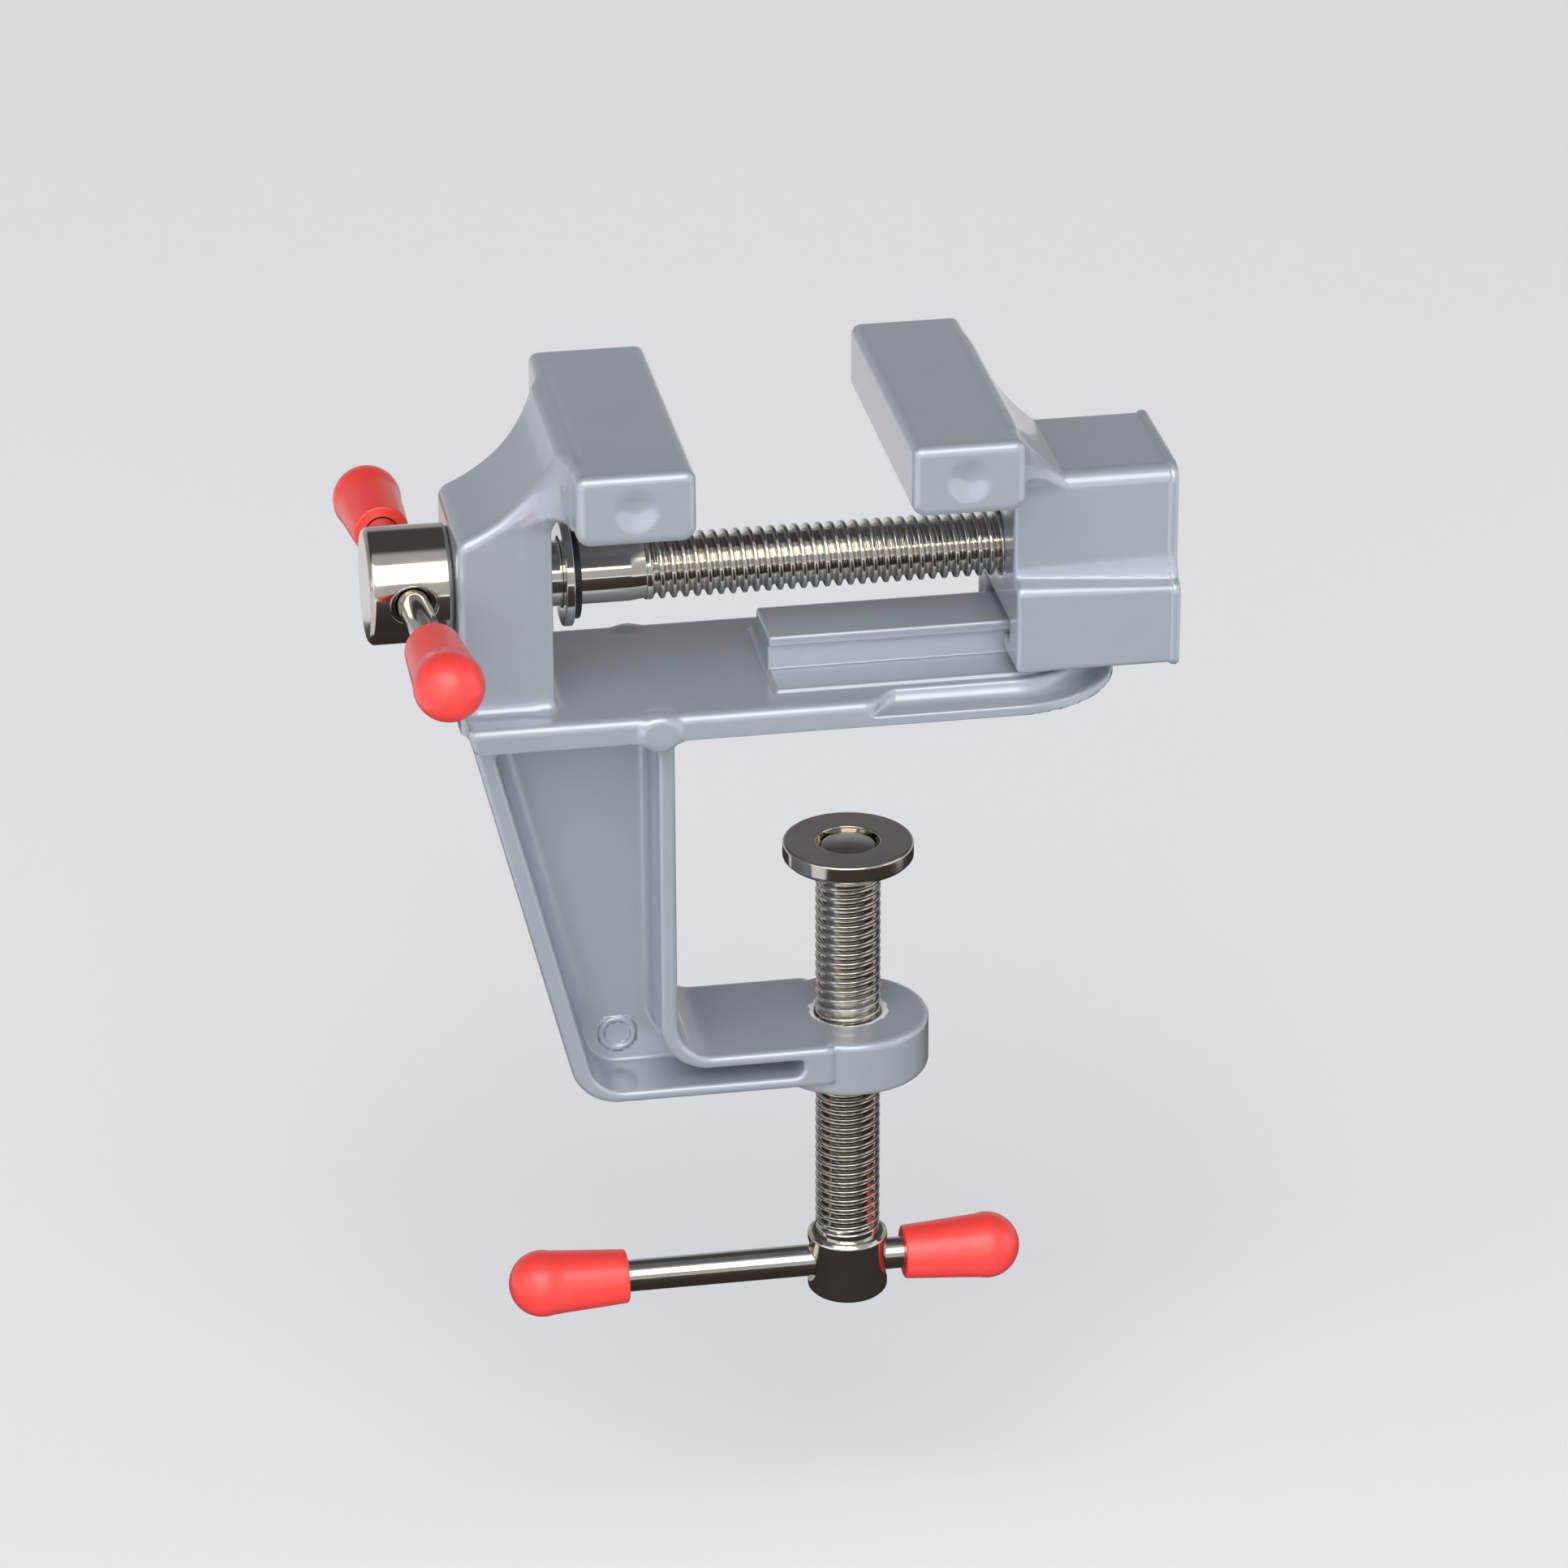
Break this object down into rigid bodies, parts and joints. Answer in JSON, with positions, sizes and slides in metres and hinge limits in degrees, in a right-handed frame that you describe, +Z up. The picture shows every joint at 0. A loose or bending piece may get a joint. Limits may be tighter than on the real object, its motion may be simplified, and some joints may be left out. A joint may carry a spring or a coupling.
{
  "type": "clamp-on table vise",
  "caption": "Small die-cast bench vise that clamps to a table edge: fixed jaw, sliding jaw on a screw, C-arm with clamp screw and swivel pad, T-bar handles with red caps.",
  "frame": {"origin": "where the clamp screw's axis meets the table's top face, on the base's underside", "axes": "+X along the vise screw from the fixed jaw to the moving jaw, +Y across the jaws, +Z up out of the table"},
  "size_m": [0.0954, 0.0636, 0.1197],
  "materials": {
    "casting": "die-cast, silver-grey lacquer, satin gloss",
    "bright_steel": "nickel plated and polished",
    "black_steel": "black phosphated spring steel",
    "red_cap": "dipped soft vinyl, low gloss"
  },
  "bodies": {
    "frame": {"frame_casting": "casting"},
    "moving_jaw": {"moving_jaw": "casting"},
    "vise_screw": {"vise_screw": "bright_steel", "thrust_washer": "bright_steel", "retaining_clip": "black_steel"},
    "vise_handle": {"vise_handle_rod": "bright_steel", "vise_handle_cap_near": "red_cap", "vise_handle_cap_far": "red_cap"},
    "clamp_pad": {"clamp_pad": "bright_steel"},
    "clamp_screw": {"clamp_screw": "bright_steel"},
    "clamp_handle": {"clamp_handle_rod": "bright_steel", "clamp_handle_cap_left": "red_cap", "clamp_handle_cap_right": "red_cap"}
  },
  "joints": [
    {"name": "vise_screw_turn", "type": "hinge", "parent": "frame", "child": "vise_screw", "pos_m": [-0.0525, 0, 0.0165], "axis": [1, 0, 0], "range_deg": [-1311.4, 6325.7]},
    {"name": "jaw_slide", "type": "slide", "parent": "frame", "child": "moving_jaw", "axis": [1, 0, 0], "range_m": [-0.02461, 0.00511]},
    {"name": "vise_handle_slide", "type": "slide", "parent": "vise_screw", "child": "vise_handle", "axis": [-0.0523, 0.9986, 0], "range_m": [-0.00805, 0.01165]},
    {"name": "pad_slide", "type": "slide", "parent": "frame", "child": "clamp_pad", "axis": [0, 0, 1], "range_m": [-0.01981, 0.02071]},
    {"name": "clamp_screw_turn", "type": "hinge", "parent": "clamp_pad", "child": "clamp_screw", "pos_m": [0, 0, -0.05], "axis": [0, 0, 1], "range_deg": [-5702.4, 5961.6]},
    {"name": "clamp_handle_slide", "type": "slide", "parent": "clamp_screw", "child": "clamp_handle", "axis": [1, 0, 0], "range_m": [-0.00175, 0.02235]}
  ],
  "couplings": [
    {"joint": "jaw_slide", "follows": "vise_screw_turn", "m_per_rad": -0.00022282},
    {"joint": "pad_slide", "follows": "clamp_screw_turn", "m_per_rad": 0.00019894}
  ]
}
